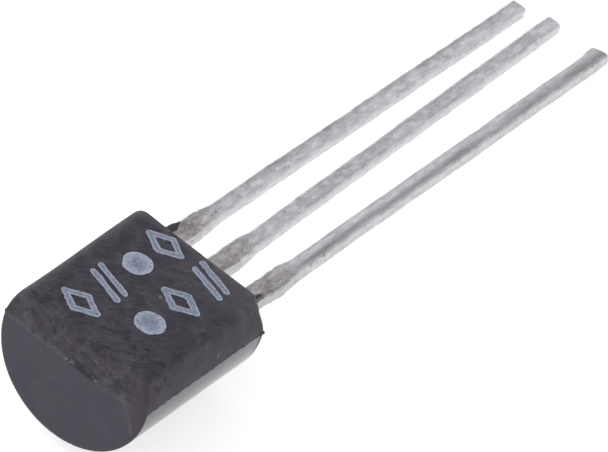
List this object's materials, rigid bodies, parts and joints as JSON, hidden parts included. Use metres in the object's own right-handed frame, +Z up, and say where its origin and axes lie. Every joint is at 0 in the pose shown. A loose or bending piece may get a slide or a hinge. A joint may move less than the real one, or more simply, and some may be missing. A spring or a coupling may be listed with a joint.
{
  "type": "to-92 transistor",
  "caption": "Through-hole transistor in a D-shaped black plastic body with a round back, a flat printed front and long flat tinned leads in a row.",
  "frame": {"origin": "on the surface it lies on, below the middle of its length and width", "axes": "+Z up, out of the surface it lies on; +X along the leads towards their tips, seen from above; +Y across the leads towards the collector lead. At rest the leads slope down to the surface by 7.0 degrees, so the flat leans towards the tips by as much."},
  "size_m": [0.0212, 0.0044, 0.0039],
  "materials": {
    "moulding": "black moulded epoxy, dull flat half and smoother round half",
    "tinned_lead": "hot-dipped tin, frosted and uneven",
    "solder": "dull solder",
    "silicon": "polished chip",
    "bond_wire": "bright drawn gold",
    "ink": "thin worn pad-printed ink"
  },
  "bodies": {
    "root": {"moulded_body": "moulding", "emitter_lead": "tinned_lead", "base_lead": "tinned_lead", "collector_lead": "tinned_lead", "die_attach": "solder", "transistor_die": "silicon", "emitter_bond_wire": "bond_wire", "base_bond_wire": "bond_wire", "marking_ink": "ink"}
  },
  "joints": []
}
